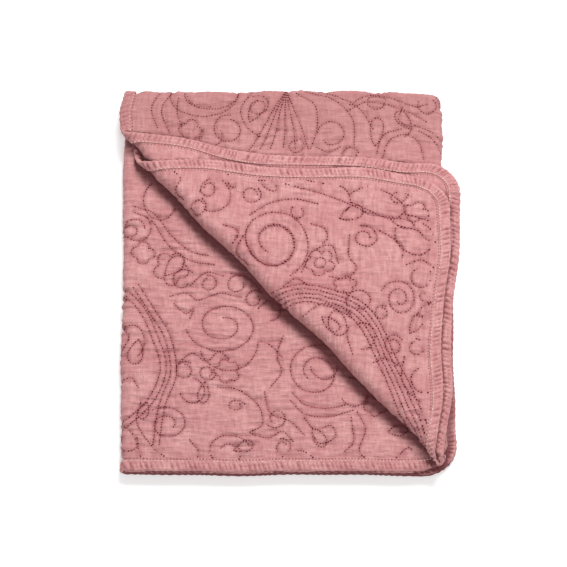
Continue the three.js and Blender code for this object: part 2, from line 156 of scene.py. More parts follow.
def roundedCorner(x, y, cornerX, cornerY, reach, weight):
    # squeezes the square corner at (cornerX, cornerY) into a quarter circle
    sideX, sideY = np.sign(cornerX), np.sign(cornerY)
    a = np.clip(sideX * (x - cornerX) / reach + 1, 0, 1)
    b = np.clip(sideY * (y - cornerY) / reach + 1, 0, 1)
    newX = x - weight * sideX * reach * a * (1 - np.sqrt(1 - b * b / 2))
    newY = y - weight * sideY * reach * b * (1 - np.sqrt(1 - a * a / 2))
    return newX, newY


def pastLine(x, y):
    # distance past the wandering diagonal line, positive on the side of the turned corner
    along = alongX * x + alongY * y
    waves = np.sin(along / 19 + 0.6) + 0.7 * np.sin(along / 33 + 2)
    wander = fold["wobble"] * waves + fold["frontShift"] * smoothRamp(*ease["frontWander"], along)
    return acrossX * x + acrossY * y - fold["lineStart"] - wander


def turnedBack(x, y, z, height):
    # what lies past the line goes round a half circle and back over the top third, then sinks onto it
    along = alongX * x + alongY * y
    inner = (1 + height / halfPitch) / 2
    tip = fold["tipShift"] * smoothRamp(*ease["tipTurn"], -along) * inner
    past = np.maximum(pastLine(x, y) + tip, 0)
    layerRadius = fold["turnRadius"] - np.where(height > 0, halfPitch, -halfPitch)
    reach = fold["turnRadius"] - (z - topSlabZ)
    angle = np.minimum(past / layerRadius, math.pi)
    rest = past - angle * layerRadius
    moved = reach * np.sin(angle) - rest - past
    sunk = 2 * (fold["turnRadius"] - fold["pitch"]) * smoothRamp(0, fold["settleLength"], rest)
    newZ = topSlabZ + fold["turnRadius"] - reach * np.cos(angle) - sunk
    return x + moved * acrossX, y + moved * acrossY, newZ


def hemWander(v):
    # how far the top third's left hem lies to the right of a straight line, in each of its two layers
    backLayer = smoothRamp(*ease["backLayer"], v - halfWidth)
    first, middle, second = ease["tipHeights"]
    tipBulge = first * smoothRamp(*ease["firstTip"], v) + middle * bell(v, *ease["tipBell"])
    tipBulge = tipBulge + second * smoothRamp(*ease["secondTip"], v)
    shift, dip = ease["hemShift"], ease["hemDip"]
    waves = shift + shift * np.sin(v / ease["hemPeriod"]) - dip * bell(v, *ease["hemDipBell"])
    return blendTo(-shift - tipBulge, waves, backLayer)


def foldedPoint(u, v):
    # the middle of the cloth at (u, v), as it lies in the folded blanket
    run, height = halfFold(v)
    lower = smoothRamp(rightTurnU - ease["lowerBefore"], rightTurnEndU + ease["lowerAfter"], u)
    x, z = thirdFold(u, height)
    y = blendTo(fold["topFrontY"], fold["lowerFrontY"], lower) + run * blendTo(1, fold["lowerShrink"], lower)
    x = x + np.where(u < rightTurnU, hemWander(v) * (1 - smoothRamp(*ease["hemFade"], u)), 0)
    drawnIn = smoothRamp(leftTurnEndU, fold["length"], u) * smoothRamp(*ease["drawIn"], y)
    x = x - fold["hemDrawIn"] * drawnIn
    topCorner = fold["topCorner"] * (1 - smoothRamp(*ease["topCorner"], np.hypot(u, v)))
    bottomDistance = np.hypot(fold["length"] - u, np.minimum(v, fold["width"] - v))
    bottomCorner = fold["bottomCorner"] * (1 - smoothRamp(*ease["bottomCorner"], bottomDistance))
    x, y = x + bottomCorner - topCorner, y - ease["bottomCornerLean"] * bottomCorner - topCorner
    turned = np.where(u < leftTurnU, smoothRamp(rightTurnU - 10, rightTurnEndU + 5, u), 0)
    rightReach = fold["rightTurnX"] + ease["rightBulge"]
    x, y = roundedCorner(x, y, rightReach, fold["lowerFrontY"], ease["frontRounding"], turned)
    x, y = roundedCorner(x, y, rightReach, ease["backEdgeY"], ease["backRounding"], 1)
    topShare = 1 - smoothRamp(rightTurnU, rightTurnEndU, u)
    z = z - fold["droop"] * np.maximum(y - ease["droopFromY"], 0) ** 2 * topShare
    backReach = fold["backReach"] * (1 + ease["backSwell"] * bell(x, *ease["backSwellBell"]))
    y = y + backReach * smoothRamp(*ease["backReach"], y) * topShare
    turnedX, turnedY, turnedZ = turnedBack(x, y, z, height)
    overhang = np.maximum(turnedX - ease["overhangFromX"], 0)
    low, high = ease["overhangLift"]
    lifted = smoothRamp(topSlabZ + low, topSlabZ + high, turnedZ)
    turnedZ = turnedZ - ease["overhangDroop"] * overhang**2 * lifted
    x, y, z = blendTo(x, turnedX, topShare), blendTo(y, turnedY, topShare), blendTo(z, turnedZ, topShare)
    edge = np.minimum(fold["length"] - u, fold["width"] - v)
    lowest = smoothRamp(leftTurnU, leftTurnEndU, u) * smoothRamp(-10, 10, v - halfWidth)
    z = z + ease["rimLift"] * lowest * (1 - smoothRamp(*ease["rim"], edge))
    # long soft waves, each a sum of sines with periods chosen not to repeat
    wave = np.sin(x / 23 + 0.7) * np.sin(y / 29 + 0.4) + np.sin((x - y) / 37)
    wander = np.sin(y / 26 + 1.3) + 0.5 * np.sin(y / 11)
    drift = np.sin(x / 28 + 0.4) + 0.5 * np.sin(x / 13 + 2)
    z = z + fold["softWave"] * wave * smoothRamp(*ease["waveFade"], z)
    return np.stack([x + ease["sideDrift"] * wander, y + ease["sideDrift"] * drift, z], axis=-1)


def clothFrame(u, v):
    # place of the cloth's middle, and its unit normal on the face side, from small steps along u and v
    step = 0.05
    alongU = foldedPoint(u + step, v) - foldedPoint(u - step, v)
    alongV = foldedPoint(u, v + step) - foldedPoint(u, v - step)
    normal = np.cross(alongU, alongV)
    return foldedPoint(u, v), normal / np.linalg.norm(normal, axis=-1, keepdims=True)


def clothSurface(u, v, height):
    place, normal = clothFrame(u, v)
    points = place + normal * np.asarray(height)[..., None]
    points[..., 2] = np.maximum(points[..., 2], fold["floorGap"])
    return points


# Where the quilting lines run. Their tables give places in the folded stack, x to the right and y to the
# back, because that is how the blanket is seen, and these functions carry them to the flat cloth.
def stripCloth(x, y):
    return np.stack([x - fold["hemX"] + 2, y - fold["topFrontY"]], axis=-1)


def thirdCloth(x, y):
    run = (y - fold["lowerFrontY"]) / fold["lowerShrink"]
    return np.stack([rightTurnEndU + fold["rightTurnX"] - x, fold["width"] - run], axis=-1)


def flapCloth(x, y):
    # mirrored across the diagonal, a quarter of the turn's length further out
    reachLine = fold["lineStart"] + math.pi * (fold["turnRadius"] + halfPitch) / 2
    past = reachLine - (acrossX * x + acrossY * y)
    flatX, flatY = x + 2 * past * acrossX, y + 2 * past * acrossY
    return np.stack([flatX - fold["hemX"] - 2, fold["width"] - (flatY - fold["topFrontY"])], axis=-1)


quilting = {
    "flapPitch": 3.05,  # from stitch to stitch
    "thirdPitch": 2.75,
    "stripPitch": 2.7,
    "furrowWidth": 1.15,
    "furrowDepth": 0.75,
    "puffReach": 6.0,
    "puffHeight": 1.0,
    "furrowMost": 1.2,
    "puffFade": 0.9,  # of the puffs near the lines
    "crinkle": 0.5,
    "crinkleAway": 0.3,  # share of the crinkles far from any line
    "crinkleNear": 0.75,  # and what nearness adds to it
    "nearMost": 1.5,
    "slow": 0.18,
    "hemLineInset": 12.2,
    "hemClearance": 1.5,
}

# Crinkles as a seed of noise and its reach along u and v, with their shares in the top third and below it
crinkleKinds = {
    "across": {"noise": (3, 7.0, 1.25), "top": 0.62, "below": 0.9},
    "along": {"noise": (8, 1.2, 6.0), "top": 0.6, "below": 0.28},
    "slow": {"noise": (5, 16.0, 9.0)},
}


def scroll(x, y, reach, turns, first, hand, eye=0.2, tall=1.0):
    # a curl that winds in from its reach to its eye, taller or flatter than round
    angle = np.linspace(0, 2 * math.pi * turns, int(40 * turns) + 8)
    share = angle / angle[-1]
    radius = reach * (1 - (1 - eye) * share**0.9)
    around = math.radians(first) + hand * angle
    return np.stack([x + radius * np.cos(around), y + tall * radius * np.sin(around)], axis=-1)


def vine(*corners):
    # a smooth curve through its corners, the even cubic of four neighbours at a time
    points = np.array(corners, dtype=float).reshape(-1, 2)
    points = np.vstack([2 * points[0] - points[1], points, 2 * points[-1] - points[-2]])
    t = np.linspace(0, 1, 14)[:, None]
    parts = []
    for a, b, c, d in zip(points, points[1:], points[2:], points[3:]):
        parts.append(b + 0.5 * t * (c - a + t * (2 * a - 5 * b + 4 * c - d + t * (3 * (b - c) + d - a))))
    return np.vstack(parts)


def leaf(x, y, length, width, angle):
    # a drop: pointed at its foot and round at its tip
    t = np.linspace(0, 2 * math.pi, 40)
    along = length * (1 - np.cos(t)) / 2
    across = width / 2 * np.sin(t) * np.sin(t / 2) ** 0.8 * 1.15
    turn = math.radians(angle)
    placeX = x + along * math.cos(turn) - across * math.sin(turn)
    return np.stack([placeX, y + along * math.sin(turn) + across * math.cos(turn)], axis=-1)


def lobes(x, y, reach, count, first):
    # a flower: a ring whose reach swells into its petals
    t = np.linspace(0, 2 * math.pi, 20 * count)
    radius = reach * (0.62 + 0.38 * np.abs(np.sin(count * t / 2)) ** 0.7)
    around = t + math.radians(first)
    return np.stack([x + radius * np.cos(around), y + radius * np.sin(around)], axis=-1)


def beside(line, gap):
    # the same line again, a gap to its left
    step = np.gradient(line, axis=0)
    step = step / np.maximum(np.linalg.norm(step, axis=1, keepdims=True), 1e-6)
    return line + gap * np.stack([-step[:, 1], step[:, 0]], axis=-1)


def flapQuilting():
    trunk = vine(-14, -28, 18, -20, 52, -36, 82, -66, 104, -104, 118, -148, 137, -184)
    upper = vine(-4, 97, 30, 86, 62, 74, 86, 64, 108, 62)
    return [
        scroll(-17, 33, 39, 1.85, -60, 1, 0.34),
        scroll(-17, 33, 30, 1.0, 150, 1, 0.5),
        scroll(-76, 83, 19, 0.8, -110, 1, 0.8),
        scroll(-82, 88, 9, 1.0, 200, 1, 0.5),
        scroll(-92, 69, 9, 1.1, 60, -1, 0.7),
        scroll(-38, 85, 10, 1.15, 40, -1, 0.6),
        leaf(-30, 101, 20, 9, -30),
        leaf(-62, 104, 14, 8, -60),
        vine(-118, 106, -112, 98, -117, 86, -106, 76),
        upper,
        vine(-2, 108, 26, 98, 50, 93, 60, 84, 62, 72, 54, 66),
        vine(60, 84, 78, 92, 96, 90, 112, 82, 118, 70, 106, 60, 88, 66, 64, 76),
        leaf(52, 60, 26, 15, 20),
        scroll(77, 39, 14, 1.35, 100, -1, 0.35),
        vine(63, 42, 60, 20, 66, 4, 56, -6, 40, -2),
        vine(90, 48, 100, 40, 110, 28, 108, 12),
        leaf(104, 60, 22, 12, -25),
        leaf(122, 88, 18, 12, 200),
        scroll(124, 38, 19, 0.75, 150, 1, 0.8, 1.2),
        vine(110, 52, 126, 46, 134, 34, 146, 30),
        vine(115, 66, 132, 60, 148, 48),
        lobes(128, 68, 12, 4, 20),
        lobes(32, 14, 15, 5, 10),
        scroll(32, 14, 6, 1.0, 0, 1, 0.9),
        vine(14, 4, 24, 26, 44, 32, 50, 12),
        vine(22, 54, 36, 50, 40, 40, 34, 34),
        lobes(54, -14, 11, 5, 40),
        scroll(106, -30, 20, 1.8, 160, -1, 0.22),
        scroll(88, -46, 8, 1.1, 60, 1, 0.6),
        scroll(66, -34, 13, 0.9, 200, -1, 0.7),
        leaf(126, -44, 20, 12, 30),
        leaf(120, -62, 22, 13, 60),
        scroll(104, -76, 11, 1.3, 40, 1, 0.5),
        scroll(128, -76, 9, 1.0, 90, -1, 0.7),
        vine(116, -86, 112, -112, 122, -132, 134, -140),
        scroll(132, -112, 14, 0.9, 60, -1, 0.75, 1.25),
        trunk,
        beside(trunk, 5),
        beside(trunk, -5),
        beside(trunk, 10),
        beside(trunk, -10),
        vine(14, -46, 34, -34, 50, -52, 54, -74, 62, -92),
        scroll(46, -58, 12, 0.9, 20, 1, 0.8, 1.4),
        leaf(30, -50, 22, 12, -50),
        scroll(70, -72, 14, 0.6, 120, -1, 0.9),
        vine(84, -96, 96, -90, 110, -96),
        vine(-48, 38, -56, 20, -44, 8),
        vine(-66, 50, -52, 44, -58, 30),
        vine(-6, -14, 8, -4, 22, -12),
        vine(126, -150, 134, -156, 141, -150),
        leaf(140, -30, 14, 8, 150),
        vine(112, 6, 126, 12, 140, 4),
        scroll(126, -6, 12, 0.8, 30, -1, 0.7),
        scroll(8, 66, 8, 0.8, 140, 1, 0.6),
        vine(-40, 62, -20, 76, 6, 80, 30, 74),
    ]


def thirdQuilting():
    trunk = vine(-176, -8, -152, -32, -138, -60, -128, -92, -140, -124, -160, -146, -178, -160)
    second = vine(-152, -6, -134, -34, -118, -62, -112, -98, -124, -132, -130, -176)
    return [
        trunk,
        beside(trunk, 6),
        second,
        beside(second, -6),
        scroll(-66, -48, 38, 1.75, 190, 1, 0.26, 0.8),
        scroll(-60, -66, 30, 0.45, 200, 1, 0.95),
        scroll(-154, 54, 16, 1.2, 60, -1, 0.5),
        scroll(-160, 52, 8, 1.0, 200, 1, 0.6),
        vine(-158, 78, -136, 70, -118, 46, -100, 30, -82, 26),
        vine(-158, 72, -138, 62, -122, 36, -100, 20, -76, 16),
        scroll(-130, 84, 18, 0.6, 120, 1, 0.9, 1.2),
        lobes(-120, 12, 18, 5, 20),
        leaf(-126, 4, 26, 16, 50),
        lobes(-148, 28, 12, 4, 40),
        scroll(-108, 0, 12, 0.8, 40, 1, 0.6),
        scroll(-82, -4, 9, 1.0, 100, -1, 0.6),
        scroll(-54, -4, 10, 0.9, 70, 1, 0.7),
        vine(-120, -18, -104, -14, -92, -22, -70, -14, -48, -18),
        vine(-116, -26, -104, -36, -96, -30, -100, -42),
        leaf(-150, -64, 26, 16, -100),
        scroll(-158, -66, 14, 0.6, -60, 1, 0.9, 1.3),
        vine(-162, -18, -168, -40, -160, -62, -168, -84),
        vine(-172, -112, -158, -104, -150, -116),
        scroll(-104, -96, 10, 1.1, 50, 1, 0.6),
        scroll(-82, -98, 9, 1.2, 0, -1, 0.5),
        vine(-110, -88, -96, -78, -82, -86, -70, -76, -58, -84),
        lobes(-62, -96, 13, 5, 0),
        scroll(-122, -152, 22, 1.5, 130, -1, 0.3, 0.85),
        leaf(-142, -130, 18, 11, -110),
        vine(-148, -128, -152, -150, -138, -174, -124, -186),
        vine(-166, -150, -154, -166, -148, -186),
        scroll(-160, -172, 10, 0.8, 30, -1, 0.7),
        scroll(-98, -118, 14, 0.7, 80, -1, 0.8),
        leaf(-84, -108, 22, 12, -100),
        vine(-72, -112, -50, -116, -32, -132, -28, -152, -42, -160),
        scroll(-54, -132, 9, 1.1, 20, 1, 0.5, 0.7),
        scroll(-62, -180, 23, 1.4, 20, 1, 0.35, 0.85),
        leaf(-56, -178, 20, 12, 20),
        vine(-40, -160, -22, -166, -8, -160, 4, -172),
        scroll(-14, -146, 11, 1.2, 210, 1, 0.45),
        scroll(-8, -176, 9, 1.2, 100, -1, 0.5),
        vine(-20, -114, -8, -98, -12, -80, -6, -58),
        vine(-26, -118, -20, -140, 0, -150, 14, -164),
        scroll(26, -98, 30, 1.45, 60, 1, 0.35),
        scroll(34, -92, 14, 0.5, 0, -1, 0.9),
        vine(2, -120, 14, -132, 34, -136, 56, -132),
        vine(0, -128, 14, -142, 38, -144, 62, -138),
        vine(14, -146, 24, -158, 40, -154, 44, -166, 28, -172, 22, -162),
        leaf(22, -156, 22, 13, -60),
        vine(66, -140, 74, -158, 68, -182, 92, -196),
        vine(60, -146, 62, -170, 52, -182),
        scroll(62, -120, 16, 0.7, 100, -1, 0.8),
        lobes(84, -132, 12, 5, 15),
        vine(-30, -64, -18, -70, -6, -84),
        vine(-100, -6, -84, 8, -66, 4),
        leaf(96, -160, 20, 12, 10),
        vine(104, -186, 116, -176, 124, -186),
        vine(-8, -186, 10, -180, 24, -188),
        vine(-100, -168, -90, -182, -96, -190),
        scroll(-36, -20, 10, 1.0, 40, 1, 0.5),
        vine(-60, 8, -44, 4, -30, -10),
        scroll(-20, -34, 12, 0.7, 160, -1, 0.8),
    ]


def stripQuilting():
    fan = [vine(-2, 198, -2 + spread * 0.5, 168, -4 + spread, 136) for spread in (-32, -22, -12, 0, 12, 24)]
    return fan + [
        scroll(-78, 195, 38, 1.35, 160, 1, 0.5, 0.72),
        scroll(-72, 196, 26, 0.5, 190, 1, 0.9, 0.7),
        vine(-124, 200, -130, 180, -124, 158),
        vine(-112, 200, -120, 178, -112, 152),
        vine(-106, 190, -104, 172, -100, 160),
        scroll(-56, 158, 15, 1.0, 80, 1, 0.7),
        scroll(-74, 150, 12, 0.7, 30, -1, 0.8),
        lobes(-92, 156, 12, 4, 30),
        vine(-36, 196, -44, 178, -38, 160, -26, 150),
        scroll(-28, 182, 12, 1.1, 120, -1, 0.5),
        leaf(-36, 166, 24, 14, 60),
        vine(8, 194, 26, 182, 28, 160, 22, 136),
        vine(16, 196, 44, 188, 62, 168, 64, 140),
        vine(20, 200, 50, 190, 70, 178, 82, 158),
        scroll(42, 152, 14, 0.9, 170, -1, 0.7),
        leaf(84, 140, 30, 14, 85),
        vine(58, 176, 76, 186, 98, 184, 122, 176, 136, 168),
        vine(60, 182, 78, 194, 100, 192, 124, 184, 140, 188),
        scroll(86, 186, 10, 1.0, 20, 1, 0.8, 0.8),
        leaf(120, 160, 22, 14, 130),
        vine(112, 182, 108, 168, 120, 160, 112, 150),
        vine(92, 128, 98, 146, 114, 154, 128, 146, 134, 128),
        vine(86, 132, 92, 152, 112, 160),
        vine(128, 158, 142, 150, 150, 134, 152, 116),
        vine(124, 164, 140, 158, 152, 146),
        scroll(136, 186, 10, 0.7, 40, -1, 0.8),
        vine(26, 140, 40, 134, 52, 140),
        vine(-112, 142, -96, 134, -84, 140),
        vine(100, 124, 112, 118, 126, 122),
        scroll(60, 130, 9, 1.0, 20, 1, 0.7),
        scroll(8, 140, 8, 1.0, 60, -1, 0.7),
        vine(146, 196, 153, 176, 150, 160),
    ]


def evenPoints(line, spacing):
    # the line again, as points at an even spacing
    lengths = np.linalg.norm(np.diff(line, axis=0), axis=1)
    total = np.concatenate([[0], np.cumsum(lengths)])
    places = np.arange(0, total[-1], spacing)
    return np.stack([np.interp(places, total, line[:, k]) for k in (0, 1)], axis=-1)


def clothInset(u, v):
    # distance inwards from the cloth's rounded outline
    du = np.abs(u - fold["length"] / 2) - fold["length"] / 2 + fold["cornerRadius"]
    dv = np.abs(v - halfWidth) - halfWidth + fold["cornerRadius"]
    outer = np.hypot(np.maximum(du, 0), np.maximum(dv, 0))
    return fold["cornerRadius"] - outer - np.minimum(np.maximum(du, dv), 0)


def wholePattern():
    # all lines in cloth places, as stitches at an even pitch, kept clear of the hem
    lines = [(thirdCloth(*line.T), quilting["thirdPitch"]) for line in thirdQuilting()]
    lines += [(flapCloth(*line.T), quilting["flapPitch"]) for line in flapQuilting()]
    lines += [(stripCloth(*line.T), quilting["stripPitch"]) for line in stripQuilting()]
    shown = []
    for line, pitch in lines:
        fine = evenPoints(line, pitch)
        keep = clothInset(fine[:, 0], fine[:, 1]) > quilting["hemLineInset"] + quilting["hemClearance"]
        shown.append(fine[keep])
    return [line for line in shown if len(line) > 3]


patternLines = wholePattern()
print("quilting lines", len(patternLines), "stitches", sum(len(line) for line in patternLines))


# Relief of the cloth, on a raster of one millimetre in u and v
rasterShape = (int(fold["length"]) + 1, int(fold["width"]) + 1)


def blurred(raster, reachU, reachV):
    # spreads the raster by a bell of the two reaches, through its frequencies
    freqU = np.fft.fftfreq(raster.shape[0])[:, None]
    freqV = np.fft.rfftfreq(raster.shape[1])[None, :]
    bellShape = np.exp(-2 * math.pi**2 * ((reachU * freqU) ** 2 + (reachV * freqV) ** 2))
    return np.fft.irfft2(np.fft.rfft2(raster) * bellShape, raster.shape)


def crinkles(seed, alongU, alongV):
    # noise stretched along one way, with its slow part taken away, about -2 to 2
    noise = np.random.default_rng(seed).normal(size=rasterShape)
    field = blurred(noise, alongU, alongV) - blurred(noise, 2.2 * alongU, 2.2 * alongV)
    return field / field.std()


def lineRaster(lines):
    raster = np.zeros(rasterShape)
    for line in lines:
        fine = evenPoints(line, 0.5)
        places = np.clip(np.rint(fine).astype(int), 0, np.array(rasterShape) - 1)
        np.add.at(raster, (places[:, 0], places[:, 1]), 0.5)
    return raster


def sampled(raster, u, v):
    # the raster's value between its points
    u = np.clip(u, 0, rasterShape[0] - 1.001)
    v = np.clip(v, 0, rasterShape[1] - 1.001)
    i, j = np.floor(u).astype(int), np.floor(v).astype(int)
    a, b = u - i, v - j
    low = raster[i, j] * (1 - b) + raster[i, j + 1] * b
    high = raster[i + 1, j] * (1 - b) + raster[i + 1, j + 1] * b
    return low * (1 - a) + high * a


def reliefOf(lines):
    # furrows along the lines, soft puffs between them, and crinkles that are strongest near the lines
    stitched = lineRaster(lines)
    width, reach = quilting["furrowWidth"], quilting["puffReach"]
    evenLine = math.sqrt(2 * math.pi)  # brings the middle of a blurred straight line back to 1
    furrow = np.minimum(blurred(stitched, width, width) * evenLine * width, quilting["furrowMost"])
    near = blurred(stitched, reach, reach) * evenLine * reach
    puff = np.exp(-quilting["puffFade"] * near)
    u = np.arange(rasterShape[0])[:, None]
    lying = smoothRamp(rightTurnU, rightTurnEndU, u)
    across, along = crinkleKinds["across"], crinkleKinds["along"]
    mixed = crinkles(*across["noise"]) * blendTo(across["top"], across["below"], lying)
    mixed = mixed + crinkles(*along["noise"]) * blendTo(along["top"], along["below"], lying)
    lively = quilting["crinkleAway"] + quilting["crinkleNear"] * np.minimum(near, quilting["nearMost"])
    relief = quilting["puffHeight"] * puff - quilting["furrowDepth"] * furrow
    slowWaves = crinkles(*crinkleKinds["slow"]["noise"])
    relief = relief + quilting["crinkle"] * lively * mixed + quilting["slow"] * slowWaves
    return relief, np.clip(furrow, 0, 1)


# the furrows shape the relief and also carry painted shade into the colour
clothRelief, clothFurrow = reliefOf(patternLines)

# The cloth's rim, by distance from its edge, where it thins to go into the binding
rim = {
    "relief": (11.5, 19.0),
    "body": (8.5, 12.5),
    "thinHalf": 0.45,
    "skin": 0.25,  # left off half the thickness, for the puffs to fill
    "seamDepth": 0.35,
    "seamReach": 1.6,
}


def faceHeight(u, v, shown=1):
    # half the thickness and, where it shows, the relief
    inset = clothInset(u, v)
    body = smoothRamp(*rim["body"], inset)
    relief = sampled(clothRelief, u, v) * smoothRamp(*rim["relief"], inset) * shown
    seam = rim["seamDepth"] * bell(inset, quilting["hemLineInset"], rim["seamReach"])
    return blendTo(rim["thinHalf"], fold["thickness"] / 2 - rim["skin"], body) + relief * body - seam * body


print("relief ready")


def makeMesh(name, points, faces, smooth=True):
    # a mesh object from arrays of points, in millimetres, and faces of three or four corners
    mesh = bpy.data.meshes.new(name)
    mesh.from_pydata((points * metresPerMillimetre).tolist(), [], faces)
    mesh.polygons.foreach_set("use_smooth", np.full(len(mesh.polygons), smooth))
    mesh.update()
    piece = bpy.data.objects.new(name, mesh)
    bpy.context.scene.collection.objects.link(piece)
    return piece


def giveAttribute(piece, name, values):
    layer = piece.data.attributes.new(name, "FLOAT", "POINT")
    layer.data.foreach_set("value", np.asarray(values, dtype=np.float32))


def giveClothMap(piece, uv):
    # the UV map holds cloth places in metres, one pair for each corner of a face
    corners = np.empty(len(piece.data.loops), dtype=np.int32)
    piece.data.loops.foreach_get("vertex_index", corners)
    layer = piece.data.uv_layers.new(name="cloth")
    layer.data.foreach_set("uv", (uv[corners] * metresPerMillimetre).astype(np.float32).ravel())


def givePaintedStripShade(piece, uv):
    # painted shade: the strip at the back is made a little darker, most at the fold
    run, _ = halfFold(uv[:, 1])
    onStrip = (uv[:, 0] < rightTurnEndU) & (uv[:, 1] < halfWidth + stripShadeReach["past"])
    giveAttribute(piece, "stripShade", np.where(onStrip, smoothRamp(stripShadeReach["from"], stripShadeReach["to"], run), 0))


# painted shade on the back strip: where it starts and where it is full along the strip, and how far past the
# fold it reaches
stripShadeReach = {"from": 260, "to": 400, "past": 8}

clothGrid = {
    "cellsU": 101,
    "cellsV": 83,
    "split": 6,  # small faces along a cell that shows
    "inset": 2.5,  # of the cloth's own edge, inside the binding
    "cornerReach": 33.5,
}


def squeezedCorners(u, v):
    # draws the four corners of the grid in to the cloth's rounded outline
    x, y = u - fold["length"] / 2, v - halfWidth
    reach = clothGrid["cornerReach"]
    halfU = fold["length"] / 2 - clothGrid["inset"]
    halfV = halfWidth - clothGrid["inset"]
    a = np.clip((np.abs(x) - halfU) / reach + 1, 0, 1)
    b = np.clip((np.abs(y) - halfV) / reach + 1, 0, 1)
    x = x - np.sign(x) * reach * a * (1 - np.sqrt(1 - b * b / 2))
    y = y - np.sign(y) * reach * b * (1 - np.sqrt(1 - a * a / 2))
    return x + fold["length"] / 2, y + halfWidth


# How far each part that shows reaches, past the fold or the line that bounds it
sight = {
    "turn": 2,
    "flapLine": -4,
    "stripLine": 2,
    "stripFrontY": 104,
    "thirdLine": -16,
    "side": 3,
    "hairpin": 7,
    "backHem": 44,
}


def faceShows(u, v):
    # the parts of the face that can be seen: the turned corner, the third under it, the strip, the turns
    run, _ = halfFold(v)
    back = v > halfWidth
    topPast = pastLine(fold["hemX"] + u, fold["topFrontY"] + run)
    thirdY = fold["lowerFrontY"] + run * fold["lowerShrink"]
    thirdPast = pastLine(fold["rightTurnX"] - (u - rightTurnEndU), thirdY)
    turn, side = sight["turn"], sight["side"]
    onTop = u < rightTurnU + turn
    flap = onTop & back & (topPast > sight["flapLine"])
    strip = onTop & ~back & (topPast < sight["stripLine"]) & (fold["topFrontY"] + run > sight["stripFrontY"])
    third = (u > rightTurnEndU - turn) & (u < leftTurnEndU + side) & back & (thirdPast > sight["thirdLine"])
    rightSide = (u > rightTurnU - side) & (u < rightTurnEndU) & ~back
    leftSide = (u > leftTurnU - side) & (u < leftTurnEndU + turn) & back
    hairpin = np.abs(v - halfWidth) < sight["hairpin"]
    return flap | strip | third | rightSide | leftSide | hairpin


def backShows(u, v):
    past = pastLine(fold["hemX"] + u, fold["topFrontY"] + v)
    return (u < sight["backHem"]) & (v < halfWidth) & (past > sight["flapLine"])


def twoLevelGrid(shows):
    # Cells that show are split into small squares. The others are fans of triangles round their middle,
    # whose rim takes in the small points of a split neighbour. Points are numbered on the small lattice,
    # doubled so that a middle has a number too.
    cellsU, cellsV, split = clothGrid["cellsU"], clothGrid["cellsV"], clothGrid["split"]
    i, j = np.meshgrid(np.arange(cellsU), np.arange(cellsV), indexing="ij")
    middleU = (i + 0.5) * fold["length"] / cellsU
    middleV = (j + 0.5) * fold["width"] / cellsV
    inside = (i > 1) & (j > 1) & (i < cellsU - 2) & (j < cellsV - 2)
    fine = shows(middleU, middleV) & inside
    rows = 2 * split * cellsV + 1

    def number(a, b):
        return (2 * a) * rows + 2 * b

    faces = []
    fineI, fineJ = i[fine][:, None] * split, j[fine][:, None] * split
    a, b = np.divmod(np.arange(split * split)[None, :], split)
    a, b = (fineI + a).ravel(), (fineJ + b).ravel()
    faces.append(np.stack([number(a, b), number(a + 1, b), number(a + 1, b + 1), number(a, b + 1)], axis=-1))
    padded = np.pad(fine, 1)
    triangles = []
    coarse = ~fine
    sides = [  # from corner to corner round the cell, and which neighbour lies beyond
        ((0, 0), (1, 0), (0, -1)),
        ((1, 0), (1, 1), (1, 0)),
        ((1, 1), (0, 1), (0, 1)),
        ((0, 1), (0, 0), (-1, 0)),
    ]
    for start, end, beyond in sides:
        neighbour = padded[1 + beyond[0] : 1 + beyond[0] + cellsU, 1 + beyond[1] : 1 + beyond[1] + cellsV]
        for isSplit in (False, True):
            wanted = coarse & (neighbour == isSplit)
            parts = split if isSplit else 1
            ci, cj = i[wanted][:, None], j[wanted][:, None]
            middle = (2 * ci + 1) * split * rows + (2 * cj + 1) * split + np.zeros((1, parts), int)
            k = np.arange(parts)[None, :] * (split // parts)
            after = k + split // parts
            stepI, stepJ = end[0] - start[0], end[1] - start[1]
            fromI, fromJ = (ci + start[0]) * split, (cj + start[1]) * split
            fromPoint = number(fromI + k * stepI, fromJ + k * stepJ)
            toPoint = number(fromI + after * stepI, fromJ + after * stepJ)
            triangles.append(np.stack([middle, fromPoint, toPoint], axis=-1).reshape(-1, 3))
    faces.append(np.vstack(triangles))
    used = np.unique(np.concatenate([f.ravel() for f in faces]))
    latticeU, latticeV = np.divmod(used, rows)
    u = latticeU / (2 * split * cellsU) * (fold["length"] - 2 * clothGrid["inset"]) + clothGrid["inset"]
    v = latticeV / (2 * split * cellsV) * (fold["width"] - 2 * clothGrid["inset"]) + clothGrid["inset"]
    u, v = squeezedCorners(u, v)
    rim = [number(np.arange(cellsU) * split, np.zeros(cellsU, int))]
    rim.append(number(np.full(cellsV, cellsU * split), np.arange(cellsV) * split))
    rim.append(number((cellsU - np.arange(cellsU)) * split, np.full(cellsU, cellsV * split)))
    rim.append(number(np.zeros(cellsV, int), (cellsV - np.arange(cellsV)) * split))
    rim = np.searchsorted(used, np.concatenate(rim))
    small = np.isin(used, faces[0])
    return u, v, [np.searchsorted(used, f) for f in faces], rim, small


def makeQuiltedCloth():
    # both faces of the cloth on their own grids, joined by one band along the rim
    u, v, faces, rim, small = twoLevelGrid(faceShows)
    backU, backV, backFaces, backRim, backSmall = twoLevelGrid(backShows)
    front = clothSurface(u, v, faceHeight(u, v, small))
    reverse = clothSurface(backU, backV, -faceHeight(backU, backV, backSmall))
    offset = len(front)
    nextRim, nextBack = np.roll(rim, -1), np.roll(backRim, -1)
    band = np.stack([rim, backRim + offset, nextBack + offset, nextRim], axis=-1)
    allFaces = [f.tolist() for f in faces] + [(f[:, ::-1] + offset).tolist() for f in backFaces]
    cloth = makeMesh("quilted_cloth", np.vstack([front, reverse]), sum(allFaces, []) + band.tolist())
    uv = np.concatenate([np.stack([u, v], axis=-1), np.stack([backU, backV], axis=-1)])
    giveClothMap(cloth, uv)
    # painted shade along the quilting furrows
    giveAttribute(cloth, "furrow", sampled(clothFurrow, uv[:, 0], uv[:, 1]))
    # painted shade on the back strip
    givePaintedStripShade(cloth, uv)
    return cloth


